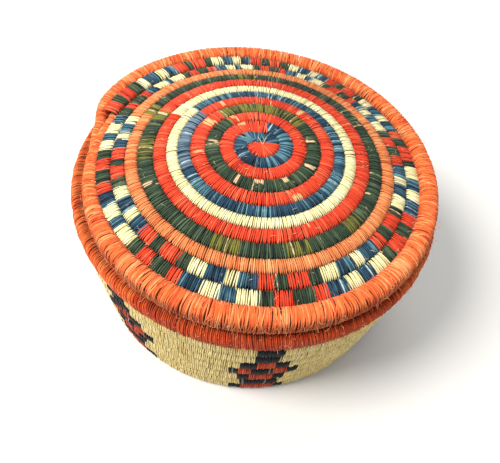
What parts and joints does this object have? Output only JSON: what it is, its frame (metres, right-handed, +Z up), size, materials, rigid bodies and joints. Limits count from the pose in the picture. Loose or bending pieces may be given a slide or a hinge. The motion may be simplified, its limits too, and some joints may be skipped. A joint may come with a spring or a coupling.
{
  "type": "egg basket",
  "caption": "Round coiled basket with a lift-off domed lid, grass coils bound in coloured wool with checker bands and stepped motifs.",
  "frame": {"origin": "middle of the base's underside, where the basket stands", "axes": "+Z up along the basket's axis, -Y towards the front of the picture, +X to its right"},
  "size_m": [0.2109, 0.2093, 0.113],
  "materials": {
    "grass": "dry straw",
    "wall_cream": "matt wool",
    "wool_cream": "matt wool",
    "wool_navy": "matt wool",
    "wool_green": "matt wool",
    "wool_red": "matt wool",
    "wool_tan": "matt wool",
    "wool_orange": "matt wool",
    "wool_black": "matt wool"
  },
  "bodies": {
    "basket": {"base_knot": "wall_cream", "base_wrap": "wall_cream", "basket_foundation": "grass", "motif_black_wraps": "wool_black", "motif_red_wraps": "wool_red", "rim_wrap": "wool_orange", "wall_cream_wrap": "wall_cream"},
    "lid": {"edge_foundation": "grass", "ledge_foundation": "grass", "ledge_wrap": "wool_orange", "lid_edge_wrap": "wool_orange", "lid_foundation": "grass", "lid_knot_red": "wool_red", "lid_ring_cream": "wool_cream", "lid_ring_green_inner": "wool_green", "lid_ring_green_outer": "wool_green", "lid_ring_navy_inner": "wool_navy", "lid_ring_navy_outer": "wool_navy", "lid_ring_red_inner": "wool_red", "lid_ring_red_middle": "wool_red", "lid_ring_red_outer": "wool_red", "lid_ring_tan": "wool_tan", "row_one_cream": "wool_cream", "row_one_green": "wool_green", "row_one_navy": "wool_navy", "row_one_red": "wool_red", "row_two_cream": "wool_cream", "row_two_green": "wool_green", "row_two_navy": "wool_navy", "row_two_red": "wool_red"}
  },
  "joints": [
    {"name": "lid_lift", "type": "slide", "parent": "basket", "child": "lid", "axis": [0, 0, 1], "range_m": [0, 0.15]}
  ]
}
